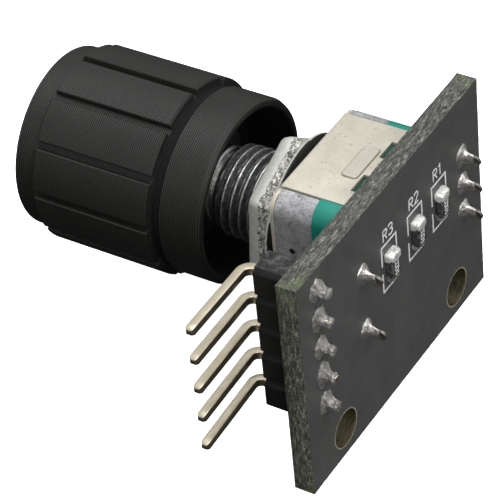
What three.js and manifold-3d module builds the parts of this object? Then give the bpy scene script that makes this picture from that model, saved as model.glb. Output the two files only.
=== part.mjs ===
// Rotary encoder module: a panel encoder with a push switch, on a small board with a right-angle header.
// Units are millimetres.
// Frame: +Y runs along the shaft from the board to the knob, +X along the board's long side,
// +Z up the board's short side. The origin is where the shaft axis meets the board's back face.
import * as THREE from "three";
import { mergeVertices } from "three/addons/utils/BufferGeometryUtils.js";
import Module from "manifold-3d";

const wasm = await Module();
wasm.setup();

// ---- driving dimensions -------------------------------------------------------------------------

const BOARD = {
  left: -15.4,
  right: 10.2,
  bottom: -11.15,
  top: 7.6,
  thickness: 1.6,
  edgeBulge: 0.25, // how far the broken edge stands out at mid thickness
  edgeBevel: 0.45,
  holeRadius: 1.47,
};
const MOUNT_HOLES = [
  [-10.7, -8.8],
  [5.95, -8.8],
];
const PIN_HOLE_RADIUS = 0.55;

const PITCH = 2.54;
const HEADER = {
  x: -13.0,
  z: 0.85, // middle pin
  pins: 5,
  width: 2.54,
  height: 2.5,
  cornerCut: 0.35,
  pinSide: 0.64,
  pinBack: -1.15,
  bendY: 5.45, // centre of the horizontal leg
  bendOuterRadius: 1.0,
  tipX: -20.3,
  tipCut: 0.16,
};

const BODY = {
  halfX: 6.15,
  halfZ: 5.9,
  cornerRadius: 1.5,
  seamY: 4.45, // base meets the die-cast housing
  frontY: 7.5,
  plateHalfX: 4.55,
  plateInnerZ: 5.7,
  plateOuterZ: 6.0,
};
const BASE = { cavityRadius: 5.2, floorY: 2.5, domePocketRadius: 2.9, domePocketY: 2.0 };
const HOUSING = {
  cavityRadius: 5.2,
  ceilingY: 6.2,
  throatRadius: 3.9,
  throatY: 7.0,
  boreRadius: 2.7,
  bossRadius: 4.2,
  bossY: 8.35,
  threadRadius: 3.5,
  threadPitch: 0.75,
  threadDepth: 0.4,
  threadStartY: 8.95,
  endY: 14.6,
};
const BRACKET = {
  webFrontY: 7.8,
  webHalfX: 6.1,
  holeRadius: 4.35,
  notchX: 2.03,
  notchWidth: 1.95,
  notchTopY: 3.0,
  embossHalfX: 1.72,
  embossY: [3.3, 4.4],
  embossHeight: 0.1,
};
const WASHER = { radius: 5.8, bore: 3.6, y: [8.35, 8.85] };
const NUT = {
  acrossFlats: 10.0,
  frontAcrossFlats: 9.5,
  bore: 3.6,
  flatsY: [8.85, 10.05],
  frontY: 10.7,
  cornerAngle: 22.5, // degrees from +X to the first corner
};

const SHAFT = {
  radius: 3.0,
  frontY: 27.8,
  flatFromY: 18.1,
  flatDepth: 1.5,
  shoulderY: 15.25,
  journalRadius: 2.6,
  grooveRadius: 2.1,
  grooveY: [6.36, 6.94],
  stemRadius: 2.4,
  stemFlat: 1.7,
  stemY: 3.3,
};
const RING = { outer: 3.3, inner: 2.16, y: [6.4, 6.9], gapHalfAngle: 38 };

const ROTOR = {
  radius: 4.8,
  discY: [3.9, 5.3],
  hubRadius: 3.4,
  hubTopY: 5.8,
  hubBottomY: 3.5,
  stemClearance: 0.12,
  toothInner: 3.85,
  toothHeight: 0.25,
  detents: 20,
};
const CODE_RING = { inner: 3.55, outer: 4.7, y: [3.7, 3.9], windows: 20 };
const DETENT_SPRING = { inner: 4.1, outer: 5.1, y: [6.05, 6.2], tipY: 5.36 };

const TERMINAL = { thickness: 0.3, width: 0.8, pitch: 2.5, x: 7.5, tipY: -1.6 };
const SWITCH_TERMINAL = { x: -7.0, z: 2.5, thickness: 0.2, width: 0.7, tipY: -1.6 };
const DOME = { radius: 2.2, thickness: 0.12, y: 2.2, height: 0.5 };
const PLUNGER = { y: [2.84, 3.3], radius: 1.6 };

const KNOB = {
  rearY: 13.4,
  rearChamferY: 13.75,
  rearChamferRadius: 6.92,
  skirtRadius: 7.08,
  neckY: [17.05, 17.65],
  neckRadius: 6.85,
  panelRadius: 7.53,
  panelFrontY: 27.45,
  rimY: 27.65,
  rimRadius: 6.93,
  frontY: 29.5,
  frontChamfer: 0.25,
  cavityRadius: 6.45,
  cavityDepth: 4.4,
  grooves: 12,
  grooveWidth: 0.62,
  grooveFloor: 7.0,
  groovePhase: 26.2, // degrees from +X to the first groove
};
const INSERT = { radius: 4.6, frontY: 28.0, clearance: 0.05 };

const RESISTOR = {
  x: [3.98, 0.42, -3.33],
  z: 0.75,
  length: 1.9,
  width: 1.25,
  height: 0.5,
  standoff: 0.05,
  fillet: 0.42,
};

const SEGMENTS = 48;

// ---- helpers ------------------------------------------------------------------------------------

// Turns a three.js geometry into a solid that can be joined and cut.
function solid(geometry) {
  const g = geometry.index ? geometry.toNonIndexed() : geometry.clone();
  g.deleteAttribute("normal");
  g.deleteAttribute("uv");
  const merged = mergeVertices(g, 1e-4);
  return new wasm.Manifold(
    new wasm.Mesh({
      numProp: 3,
      vertProperties: new Float32Array(merged.attributes.position.array),
      triVerts: new Uint32Array(merged.index.array),
    }),
  );
}

// Box from its low and high limits along each axis.
function box(x, y, z) {
  const g = new THREE.BoxGeometry(x[1] - x[0], y[1] - y[0], z[1] - z[0]);
  g.translate((x[0] + x[1]) / 2, (y[0] + y[1]) / 2, (z[0] + z[1]) / 2);
  return solid(g);
}

// Round body about the Y axis, or about a parallel axis through (x, z).
function rod(radius, y, x = 0, z = 0, segments = SEGMENTS) {
  const g = new THREE.CylinderGeometry(radius, radius, y[1] - y[0], segments);
  g.translate(x, (y[0] + y[1]) / 2, z);
  return solid(g);
}

// Revolves a profile of [radius, y] pairs about the Y axis. The profile closes on the axis or on itself.
function turned(profile, segments = SEGMENTS) {
  const points = profile.map(([r, y]) => new THREE.Vector2(r, y));
  return solid(new THREE.LatheGeometry(points, segments));
}

// Pushes an outline of [x, z] pairs along Y.
function prism(outline, y) {
  const shape = new THREE.Shape(outline.map(([x, z]) => new THREE.Vector2(x, z)));
  const g = new THREE.ExtrudeGeometry(shape, { depth: y[1] - y[0], bevelEnabled: false });
  g.rotateX(Math.PI / 2);
  g.translate(0, y[1], 0);
  return solid(g);
}

// Pushes an outline of [x, y] pairs along Z.
function profileZ(outline, z) {
  const shape = new THREE.Shape(outline.map(([x, y]) => new THREE.Vector2(x, y)));
  const g = new THREE.ExtrudeGeometry(shape, { depth: z[1] - z[0], bevelEnabled: false });
  g.translate(0, 0, z[0]);
  return solid(g);
}

// Points on an arc, in degrees, both ends included.
function arc(cx, cy, radius, from, to, steps) {
  return Array.from({ length: steps + 1 }, (_, i) => {
    const a = THREE.MathUtils.degToRad(from + ((to - from) * i) / steps);
    return [cx + radius * Math.cos(a), cy + radius * Math.sin(a)];
  });
}

// Outline of a rectangle with rounded corners, centred on the axis.
function roundedRectangle(halfX, halfZ, radius, steps = 6) {
  const x = halfX - radius;
  const z = halfZ - radius;
  return [
    ...arc(x, z, radius, 0, 90, steps),
    ...arc(-x, z, radius, 90, 180, steps),
    ...arc(-x, -z, radius, 180, 270, steps),
    ...arc(x, -z, radius, 270, 360, steps),
  ];
}

const joined = (parts) => parts.reduce((a, b) => a.add(b));
const turnedAboutY = (part, degrees) => part.rotate([0, degrees, 0]);
const symmetric = (half) => [-half, half];

const assembly = new THREE.Group();
assembly.name = "rotary_encoder_module";

function place(name, part, color) {
  const cut = part.getMesh();
  const g = new THREE.BufferGeometry();
  g.setAttribute("position", new THREE.BufferAttribute(cut.vertProperties.slice(), 3));
  g.setIndex(new THREE.BufferAttribute(cut.triVerts.slice(), 1));
  g.computeVertexNormals();
  const mesh = new THREE.Mesh(g, new THREE.MeshStandardMaterial({ color }));
  mesh.name = name;
  assembly.add(mesh);
}

const COLOR = {
  board: 0x3a3a39,
  plastic: 0x151515,
  pin: 0xc9bc90,
  solder: 0xb9b9b6,
  green: 0x159c80,
  zinc: 0x9c9ca2,
  tin: 0xd6cfbc,
  nickel: 0xc4c4bb,
  steel: 0xa9a9a6,
  knob: 0x1c1c1b,
  brass: 0xb08d3e,
  rotor: 0xd8d4c4,
  resistor: 0x191919,
};

// ---- board --------------------------------------------------------------------------------------

const headerPinZ = Array.from(
  { length: HEADER.pins },
  (_, i) => HEADER.z + ((HEADER.pins - 1) / 2 - i) * PITCH,
);
const terminalZ = [TERMINAL.pitch, 0, -TERMINAL.pitch];
const switchZ = [SWITCH_TERMINAL.z, -SWITCH_TERMINAL.z];
const pinHoles = [
  ...headerPinZ.map((z) => [HEADER.x, z]),
  ...terminalZ.map((z) => [TERMINAL.x, z]),
  ...switchZ.map((z) => [SWITCH_TERMINAL.x, z]),
];

const boardShape = new THREE.Shape([
  new THREE.Vector2(BOARD.left, BOARD.bottom),
  new THREE.Vector2(BOARD.right, BOARD.bottom),
  new THREE.Vector2(BOARD.right, BOARD.top),
  new THREE.Vector2(BOARD.left, BOARD.top),
]);
const boardBlank = new THREE.ExtrudeGeometry(boardShape, {
  depth: BOARD.thickness - 2 * BOARD.edgeBevel,
  bevelEnabled: true,
  bevelThickness: BOARD.edgeBevel,
  bevelSize: BOARD.edgeBulge,
  bevelSegments: 1,
});
boardBlank.rotateX(Math.PI / 2);
boardBlank.translate(0, BOARD.thickness - BOARD.edgeBevel, 0);
let board = solid(boardBlank);
const throughBoard = [-1, BOARD.thickness + 1];
for (const [x, z] of MOUNT_HOLES) {
  board = board.subtract(rod(BOARD.holeRadius, throughBoard, x, z, 32));
}
for (const [x, z] of pinHoles) {
  board = board.subtract(rod(PIN_HOLE_RADIUS, throughBoard, x, z, 16));
}
place("pcb", board, COLOR.board);

// ---- header -------------------------------------------------------------------------------------

// One outline round all the segments of the block, each with its corners cut off.
function headerOutline() {
  const half = HEADER.width / 2;
  const cut = HEADER.cornerCut;
  const right = [];
  const left = [];
  for (const z of headerPinZ.slice().reverse()) {
    right.push([HEADER.x + half - cut, z - half], [HEADER.x + half, z - half + cut]);
    right.push([HEADER.x + half, z + half - cut], [HEADER.x + half - cut, z + half]);
    left.push([HEADER.x - half + cut, z - half], [HEADER.x - half, z - half + cut]);
    left.push([HEADER.x - half, z + half - cut], [HEADER.x - half + cut, z + half]);
  }
  return [...right, ...left.reverse()];
}

const headerTopY = BOARD.thickness + HEADER.height;
const pinHalf = HEADER.pinSide / 2;
let headerBlock = prism(headerOutline(), [BOARD.thickness, headerTopY]);
for (const z of headerPinZ) {
  const channel = box(
    [HEADER.x - pinHalf, HEADER.x + pinHalf],
    [BOARD.thickness - 1, headerTopY + 1],
    [z - pinHalf, z + pinHalf],
  );
  headerBlock = headerBlock.subtract(channel);
}
place("header_housing", headerBlock, COLOR.plastic);

// Side view of a pin: up through the board, round the bend, out past the board's edge.
function headerPinOutline() {
  const right = HEADER.x + pinHalf;
  const left = HEADER.x - pinHalf;
  const top = HEADER.bendY + pinHalf;
  const under = HEADER.bendY - pinHalf;
  const outer = HEADER.bendOuterRadius;
  const inner = outer - HEADER.pinSide;
  const cut = HEADER.tipCut;
  return [
    [left + cut, HEADER.pinBack],
    [right - cut, HEADER.pinBack],
    [right, HEADER.pinBack + cut],
    ...arc(right - outer, top - outer, outer, 0, 90, 8),
    [HEADER.tipX + cut, top],
    [HEADER.tipX, top - cut],
    [HEADER.tipX, under + cut],
    [HEADER.tipX + cut, under],
    ...arc(left - inner, under - inner, inner, 90, 0, 6),
    [left, HEADER.pinBack + cut],
  ];
}
headerPinZ.forEach((z, i) => {
  place(`header_pin_${i + 1}`, profileZ(headerPinOutline(), [z - pinHalf, z + pinHalf]), COLOR.pin);
});

// ---- solder joints ------------------------------------------------------------------------------

// A hollow-sided cone of solder on the back of the board, with a slot for the lead it holds.
function solderJoint(x, z, baseRadius, neckRadius, height, lead) {
  const rows = 4;
  const side = Array.from({ length: rows + 1 }, (_, i) => {
    const t = i / rows;
    return [neckRadius + (baseRadius - neckRadius) * (1 - t) ** 2.2, -height * t];
  });
  const profile = [[0, -height - 0.12], ...side.reverse(), [0, 0]];
  const cone = turned(profile, 16).translate([x, 0, z]);
  const slot = box([x - lead[0], x + lead[0]], [-height - 1, 1], [z - lead[1], z + lead[1]]);
  return cone.subtract(slot);
}
headerPinZ.forEach((z, i) => {
  const joint = solderJoint(HEADER.x, z, 0.92, 0.52, 0.85, [pinHalf, pinHalf]);
  place(`header_solder_${i + 1}`, joint, COLOR.solder);
});
const terminalLead = [TERMINAL.thickness / 2, TERMINAL.width / 2];
terminalZ.forEach((z, i) => {
  const joint = solderJoint(TERMINAL.x, z, 0.95, 0.48, 1.15, terminalLead);
  place(`encoder_solder_${i + 1}`, joint, COLOR.solder);
});
const switchLead = [SWITCH_TERMINAL.thickness / 2, SWITCH_TERMINAL.width / 2];
switchZ.forEach((z, i) => {
  const joint = solderJoint(SWITCH_TERMINAL.x, z, 0.95, 0.45, 1.1, switchLead);
  place(`switch_solder_${i + 1}`, joint, COLOR.solder);
});

// ---- resistors on the back ----------------------------------------------------------------------

const resistorFar = -(RESISTOR.standoff + RESISTOR.height);
RESISTOR.x.forEach((x, i) => {
  const half = RESISTOR.length / 2;
  const width = [x - RESISTOR.width / 2, x + RESISTOR.width / 2];
  const chip = box(width, [resistorFar, -RESISTOR.standoff], [RESISTOR.z - half, RESISTOR.z + half]);
  place(`resistor_${i + 1}`, chip, COLOR.resistor);
  // A wedge of solder from the pad up each end face.
  [1, -1].forEach((side, k) => {
    const end = RESISTOR.z + side * half;
    const toe = end + side * RESISTOR.fillet;
    const wedge = [
      [0, end],
      [0, toe],
      [-RESISTOR.standoff - 0.06, toe],
      [resistorFar * 0.55, end + side * RESISTOR.fillet * 0.55],
      [resistorFar + 0.04, end],
    ];
    const order = side > 0 ? wedge : wedge.slice().reverse();
    const shape = new THREE.Shape(order.map(([y, z]) => new THREE.Vector2(z, y)));
    const g = new THREE.ExtrudeGeometry(shape, { depth: RESISTOR.width, bevelEnabled: false });
    g.rotateY(-Math.PI / 2);
    g.translate(width[1], 0, 0);
    place(`resistor_solder_${2 * i + k + 1}`, solid(g), COLOR.solder);
  });
});

// ---- encoder base -------------------------------------------------------------------------------

const bodyOutline = roundedRectangle(BODY.halfX, BODY.halfZ, BODY.cornerRadius);

// Shallow seats above and below, where the bracket's side plates lie flush.
function plateSeats(y) {
  const seat = [BODY.plateInnerZ, BODY.plateInnerZ + 1];
  const x = symmetric(BODY.plateHalfX);
  return joined([box(x, y, seat), box(x, y, [-seat[1], -seat[0]])]);
}

const terminalOutX = TERMINAL.x + TERMINAL.thickness / 2;
const terminalFloor = [BASE.floorY, BASE.floorY + TERMINAL.thickness];
const switchFloor = [BASE.domePocketY, BASE.domePocketY + SWITCH_TERMINAL.thickness];
const switchOutX = SWITCH_TERMINAL.x - SWITCH_TERMINAL.thickness / 2;

let base = prism(bodyOutline, [BOARD.thickness, BODY.seamY]);
base = base.subtract(plateSeats([0, BODY.seamY + 1]));
base = base.subtract(rod(BASE.cavityRadius, [BASE.floorY, BODY.seamY + 1]));
base = base.subtract(rod(BASE.domePocketRadius, [BASE.domePocketY, BASE.floorY + 1]));
for (const z of terminalZ) {
  const half = TERMINAL.width / 2;
  base = base.subtract(box([3.6, BODY.halfX + 1], terminalFloor, [z - half, z + half]));
}
for (const z of switchZ) {
  const half = SWITCH_TERMINAL.width / 2;
  base = base.subtract(box([-BODY.halfX - 1, 0], switchFloor, [z - half, z + half]));
}
place("encoder_base", base, COLOR.green);

// ---- die-cast housing with the threaded bushing -------------------------------------------------

// Ridges of the thread, as [radius, y] pairs from the boss to the bushing's end.
function threadProfile() {
  const { threadRadius, threadDepth, threadPitch, threadStartY, endY } = HOUSING;
  const root = threadRadius - threadDepth;
  const points = [];
  for (let y = threadStartY; y + threadPitch < endY; y += threadPitch) {
    points.push([threadRadius, y], [root, y + 0.5 * threadPitch]);
  }
  return points;
}

const housingBody = prism(bodyOutline, [BODY.seamY, BODY.frontY]).subtract(
  plateSeats([BODY.seamY - 1, BODY.frontY + 1]),
);
const bushing = turned(
  [
    [0, BODY.seamY],
    [HOUSING.bossRadius, BODY.seamY],
    [HOUSING.bossRadius, HOUSING.bossY],
    [HOUSING.threadRadius - HOUSING.threadDepth, HOUSING.bossY],
    [HOUSING.threadRadius - HOUSING.threadDepth, HOUSING.threadStartY - 0.3],
    ...threadProfile(),
    [HOUSING.threadRadius - 0.05, HOUSING.endY - 0.35],
    [HOUSING.threadRadius - 0.28, HOUSING.endY],
    [0, HOUSING.endY],
  ],
  40,
);
let housing = housingBody.add(bushing);
housing = housing.subtract(rod(HOUSING.cavityRadius, [BODY.seamY - 1, HOUSING.ceilingY]));
housing = housing.subtract(rod(HOUSING.throatRadius, [BODY.seamY - 1, HOUSING.throatY]));
housing = housing.subtract(rod(HOUSING.boreRadius, [BODY.seamY - 1, HOUSING.endY + 1]));
place("encoder_housing", housing, COLOR.zinc);

// ---- bracket ------------------------------------------------------------------------------------

const plateThickness = BODY.plateOuterZ - BODY.plateInnerZ;
let bracket = box(
  symmetric(BRACKET.webHalfX),
  [BODY.frontY, BRACKET.webFrontY],
  symmetric(BODY.plateInnerZ),
);
bracket = bracket.intersect(
  prism(
    roundedRectangle(BRACKET.webHalfX, BODY.halfZ, BODY.cornerRadius),
    [BODY.frontY, BRACKET.webFrontY],
  ),
);
for (const side of [1, -1]) {
  const z = [side * BODY.plateInnerZ, side * BODY.plateOuterZ].sort((a, b) => a - b);
  const bend = [
    [side * BODY.plateInnerZ, BODY.frontY],
    ...arc(BODY.plateInnerZ, BODY.frontY, plateThickness, 0, 90, 5).map(([pz, y]) => [side * pz, y]),
  ];
  const shape = new THREE.Shape(bend.map(([pz, y]) => new THREE.Vector2(-pz, y)));
  const corner = new THREE.ExtrudeGeometry(shape, {
    depth: 2 * BODY.plateHalfX,
    bevelEnabled: false,
  });
  corner.rotateY(Math.PI / 2);
  corner.translate(-BODY.plateHalfX, 0, 0);
  bracket = bracket.add(box(symmetric(BODY.plateHalfX), [BOARD.thickness, BODY.frontY], z));
  bracket = bracket.add(solid(corner));
  const raised = [
    side * (BODY.plateOuterZ - 0.05),
    side * (BODY.plateOuterZ + BRACKET.embossHeight),
  ].sort((a, b) => a - b);
  bracket = bracket.add(box(symmetric(BRACKET.embossHalfX), BRACKET.embossY, raised));
  for (const x of [-BRACKET.notchX, BRACKET.notchX]) {
    const half = BRACKET.notchWidth / 2;
    const notch = [side * (BODY.plateInnerZ - 1), side * (BODY.plateOuterZ + 1)];
    bracket = bracket.subtract(
      box([x - half, x + half], [0, BRACKET.notchTopY], notch.sort((a, b) => a - b)),
    );
  }
}
bracket = bracket.subtract(rod(BRACKET.holeRadius, [BODY.frontY - 1, BRACKET.webFrontY + 1]));
place("clamp_bracket", bracket, COLOR.tin);

// ---- washer and nut -----------------------------------------------------------------------------

place("washer", rod(WASHER.radius, WASHER.y).subtract(rod(WASHER.bore, [0, 20])), COLOR.nickel);

// Six-sided, and narrower towards its front face.
const nutCorner = NUT.acrossFlats / Math.sqrt(3);
const nutFrontCorner = NUT.frontAcrossFlats / Math.sqrt(3);
const nutProfile = [
  [0, NUT.flatsY[0]],
  [nutCorner, NUT.flatsY[0]],
  [nutCorner, NUT.flatsY[1]],
  [nutFrontCorner, NUT.frontY],
  [0, NUT.frontY],
];
const nutBlank = turned(nutProfile, 6).rotate([0, 30 - NUT.cornerAngle, 0]);
place("hex_nut", nutBlank.subtract(rod(NUT.bore, [0, 20])), COLOR.nickel);

// ---- shaft and its retaining ring ---------------------------------------------------------------

// The stem has a flat on each side, so that it turns the rotor but slides through it.
function stem(radius, flat, y) {
  return rod(radius, y, 0, 0, 48).intersect(box(symmetric(flat), y, symmetric(radius + 1)));
}

let shaft = turned([
  [0, SHAFT.grooveY[0]],
  [SHAFT.grooveRadius, SHAFT.grooveY[0]],
  [SHAFT.grooveRadius, SHAFT.grooveY[1]],
  [SHAFT.journalRadius, SHAFT.grooveY[1]],
  [SHAFT.journalRadius, SHAFT.shoulderY],
  [SHAFT.radius - 0.15, SHAFT.shoulderY],
  [SHAFT.radius, SHAFT.shoulderY + 0.15],
  [SHAFT.radius, SHAFT.frontY - 0.4],
  [SHAFT.radius - 0.4, SHAFT.frontY],
  [0, SHAFT.frontY],
]);
shaft = shaft.add(stem(SHAFT.stemRadius, SHAFT.stemFlat, [SHAFT.stemY, SHAFT.grooveY[0]]));
const shaftFlatZ = SHAFT.radius - SHAFT.flatDepth;
shaft = shaft.subtract(box([-5, 5], [SHAFT.flatFromY, SHAFT.frontY + 1], [shaftFlatZ, 5]));
place("shaft", shaft, COLOR.steel);

const ringOutline = [
  ...arc(0, 0, RING.outer, RING.gapHalfAngle, 360 - RING.gapHalfAngle, 40),
  ...arc(0, 0, RING.inner, 360 - RING.gapHalfAngle, RING.gapHalfAngle, 40),
];
place("retaining_ring", prism(ringOutline, RING.y), COLOR.steel);

// ---- rotor, code ring and detent spring ---------------------------------------------------------

const detentStep = 360 / ROTOR.detents;
let rotor = joined([
  rod(ROTOR.radius, ROTOR.discY),
  rod(ROTOR.hubRadius, [ROTOR.hubBottomY, ROTOR.hubTopY]),
]);
const toothHalf = ROTOR.radius * Math.tan(THREE.MathUtils.degToRad(detentStep / 2));
const toothProfile = [
  [-toothHalf, ROTOR.discY[1] - 0.1],
  [toothHalf, ROTOR.discY[1] - 0.1],
  [toothHalf * 0.9, ROTOR.discY[1]],
  [0, ROTOR.discY[1] + ROTOR.toothHeight],
  [-toothHalf * 0.9, ROTOR.discY[1]],
];
const tooth = profileZ(toothProfile, [ROTOR.toothInner, ROTOR.radius - 0.05]);
for (let i = 0; i < ROTOR.detents; i += 1) {
  rotor = rotor.add(turnedAboutY(tooth, (i + 0.5) * detentStep));
}
rotor = rotor.subtract(
  stem(SHAFT.stemRadius + ROTOR.stemClearance, SHAFT.stemFlat + ROTOR.stemClearance, [0, 10]),
);
place("rotor_wheel", rotor, COLOR.rotor);

let codeRing = rod(CODE_RING.outer, CODE_RING.y).subtract(rod(CODE_RING.inner, [0, 10]));
for (let i = 0; i < CODE_RING.windows; i += 1) {
  const gap = box([-0.32, 0.32], [0, 10], [CODE_RING.inner + 0.35, CODE_RING.outer - 0.2]);
  codeRing = codeRing.subtract(turnedAboutY(gap, (i * 360) / CODE_RING.windows));
}
place("code_ring", codeRing, COLOR.brass);

let spring = rod(DETENT_SPRING.outer, DETENT_SPRING.y).subtract(rod(DETENT_SPRING.inner, [0, 10]));
const bumpProfile = [
  [-0.75, DETENT_SPRING.y[0] + 0.05],
  [-0.05, DETENT_SPRING.tipY],
  [0.05, DETENT_SPRING.tipY],
  [0.75, DETENT_SPRING.y[0] + 0.05],
];
const bump = profileZ(bumpProfile, [DETENT_SPRING.inner + 0.05, ROTOR.radius - 0.1]);
spring = spring.add(bump).add(turnedAboutY(bump, 180));
place("detent_spring", spring, COLOR.steel);

// ---- terminals ----------------------------------------------------------------------------------

// Encoder terminal: leg through the board, foot through the base's wall, finger up to the code ring.
const fingerRadius = 4.15;
terminalZ.forEach((z, i) => {
  const half = TERMINAL.width / 2;
  const wide = [z - half, z + half];
  const x = TERMINAL.x;
  const leg = box([x - 0.15, x + 0.15], [TERMINAL.tipY, terminalFloor[1]], wide);
  const fingerX = Math.sqrt(fingerRadius ** 2 - z ** 2);
  const foot = box([fingerX - 0.25, terminalOutX], terminalFloor, wide);
  const finger = profileZ(
    [
      [fingerX - 0.25, terminalFloor[0]],
      [fingerX + 0.55, terminalFloor[0]],
      [fingerX + 0.1, CODE_RING.y[0]],
      [fingerX - 0.1, CODE_RING.y[0]],
    ],
    [z - 0.15, z + 0.15],
  );
  place(`terminal_${"abc"[i]}`, joined([leg, foot, finger]), COLOR.nickel);
});

// Switch terminals: the first ends under the dome's rim, the second reaches its centre.
switchZ.forEach((z, i) => {
  const half = SWITCH_TERMINAL.width / 2;
  const wide = [z - half, z + half];
  const x = SWITCH_TERMINAL.x;
  const leg = box([switchOutX, x + 0.1], [SWITCH_TERMINAL.tipY, switchFloor[1]], wide);
  const reach = i === 0 ? -0.6 : -1.2;
  const foot = box([switchOutX, reach], switchFloor, wide);
  const pad =
    i === 0
      ? box([-1.2, -0.6], switchFloor, [1.75, z])
      : box([-0.6 - 0.6, -0.6 + 0.9], switchFloor, [z, 0.35]);
  place(`switch_terminal_${"de"[i]}`, joined([leg, foot, pad]), COLOR.nickel);
});

// ---- switch dome and plunger --------------------------------------------------------------------

const domeRows = 4;
const domeOuter = Array.from({ length: domeRows + 1 }, (_, i) => {
  const t = i / domeRows;
  return [DOME.radius * t, DOME.y + DOME.thickness + DOME.height * (1 - t * t)];
});
const domeInner = domeOuter.map(([r, y]) => [r, y - DOME.thickness]).reverse();
place("switch_dome", turned([...domeInner.reverse(), ...domeOuter.reverse()], 24), COLOR.steel);
place("switch_plunger", rod(PLUNGER.radius, PLUNGER.y, 0, 0, 40), COLOR.plastic);

// ---- knob ---------------------------------------------------------------------------------------

const cavityTopY = KNOB.rearY + KNOB.cavityDepth;
let knob = turned(
  [
    [0, KNOB.rearY],
    [KNOB.rearChamferRadius, KNOB.rearY],
    [KNOB.skirtRadius, KNOB.rearChamferY],
    [KNOB.skirtRadius, KNOB.neckY[0] - 0.08],
    [KNOB.neckRadius, KNOB.neckY[0]],
    [KNOB.neckRadius, KNOB.neckY[1]],
    [KNOB.panelRadius, KNOB.neckY[1]],
    [KNOB.panelRadius, KNOB.panelFrontY],
    [KNOB.rimRadius, KNOB.rimY],
    [KNOB.rimRadius, KNOB.frontY - KNOB.frontChamfer],
    [KNOB.rimRadius - KNOB.frontChamfer, KNOB.frontY],
    [0, KNOB.frontY],
  ],
  72,
);
const grooveCut = box(
  [KNOB.grooveFloor, KNOB.panelRadius + 1],
  [KNOB.neckY[1] - 0.2, KNOB.panelFrontY - 0.02],
  symmetric(KNOB.grooveWidth / 2),
);
for (let i = 0; i < KNOB.grooves; i += 1) {
  knob = knob.subtract(turnedAboutY(grooveCut, -KNOB.groovePhase - (i * 360) / KNOB.grooves));
}
knob = knob.subtract(rod(KNOB.cavityRadius, [KNOB.rearY - 1, cavityTopY]));
knob = knob.subtract(rod(INSERT.radius, [KNOB.rearY - 1, INSERT.frontY]));
place("knob_body", knob, COLOR.knob);

// The insert grips the shaft's flat.
const gripRadius = SHAFT.radius + INSERT.clearance;
const gripHole = rod(gripRadius, [0, INSERT.frontY - 0.15]).subtract(
  box([-5, 5], [SHAFT.flatFromY + 0.6, 40], [shaftFlatZ + INSERT.clearance, 5]),
);
const insert = rod(INSERT.radius - INSERT.clearance, [cavityTopY - 0.8, INSERT.frontY]);
place("knob_insert", insert.subtract(gripHole), COLOR.plastic);

export default assembly;
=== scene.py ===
import math

import bmesh
import bpy
from mathutils import Matrix, Vector, noise


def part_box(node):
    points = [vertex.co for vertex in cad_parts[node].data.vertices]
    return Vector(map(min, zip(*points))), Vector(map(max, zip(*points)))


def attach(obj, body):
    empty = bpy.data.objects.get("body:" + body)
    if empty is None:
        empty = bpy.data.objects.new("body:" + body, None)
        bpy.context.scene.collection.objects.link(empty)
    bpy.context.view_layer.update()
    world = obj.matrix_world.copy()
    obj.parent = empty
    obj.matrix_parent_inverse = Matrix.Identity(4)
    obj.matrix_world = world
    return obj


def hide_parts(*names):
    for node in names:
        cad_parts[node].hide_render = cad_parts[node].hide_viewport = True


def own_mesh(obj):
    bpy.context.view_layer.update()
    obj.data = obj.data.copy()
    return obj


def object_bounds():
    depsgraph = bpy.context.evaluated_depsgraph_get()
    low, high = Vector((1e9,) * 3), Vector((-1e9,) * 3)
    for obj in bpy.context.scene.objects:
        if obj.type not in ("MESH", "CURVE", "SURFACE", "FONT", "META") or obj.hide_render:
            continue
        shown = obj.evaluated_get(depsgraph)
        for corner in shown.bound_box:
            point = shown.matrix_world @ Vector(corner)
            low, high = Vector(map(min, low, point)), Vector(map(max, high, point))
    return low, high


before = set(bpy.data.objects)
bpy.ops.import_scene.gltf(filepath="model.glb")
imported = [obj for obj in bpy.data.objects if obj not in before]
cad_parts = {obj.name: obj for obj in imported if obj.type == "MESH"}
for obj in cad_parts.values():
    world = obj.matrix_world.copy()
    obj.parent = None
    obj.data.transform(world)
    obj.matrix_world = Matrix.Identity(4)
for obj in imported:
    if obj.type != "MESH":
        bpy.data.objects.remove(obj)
cad_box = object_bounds()

MM = 0.001


# ---- camera, light and floor ----

CAMERA_PLACE = Vector((-129.165, -76.207, 126.756)) * MM
CAMERA_AZIMUTH = -55.063
CAMERA_ELEVATION = 40.063
CAMERA_ROLL = 6.107
CAMERA_LENS = 199.94


def add_camera():
    a, e, roll = (math.radians(v) for v in (CAMERA_AZIMUTH, CAMERA_ELEVATION, CAMERA_ROLL))
    forward = Vector((-math.sin(a) * math.cos(e), math.cos(a) * math.cos(e), -math.sin(e)))
    level = forward.cross(Vector((0, 0, 1))).normalized()
    down = forward.cross(level)
    right = level * math.cos(roll) + down * math.sin(roll)
    up = right.cross(forward)
    data = bpy.data.cameras.new("camera")
    data.lens = CAMERA_LENS
    data.sensor_width = 36
    data.clip_start = 0.005
    cam = bpy.data.objects.new("camera", data)
    bpy.context.scene.collection.objects.link(cam)
    turn = Matrix((right, up, -forward)).transposed().to_4x4()
    cam.matrix_world = Matrix.Translation(CAMERA_PLACE) @ turn
    bpy.context.scene.camera = cam


def add_area(name, place, aim, size, watts):
    data = bpy.data.lights.new(name, "AREA")
    data.shape = "RECTANGLE"
    data.size, data.size_y = size
    data.energy = watts
    lamp = bpy.data.objects.new(name, data)
    bpy.context.scene.collection.objects.link(lamp)
    lamp.location = place
    lamp.rotation_euler = (Vector(aim) - Vector(place)).to_track_quat("-Z", "Y").to_euler()


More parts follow.
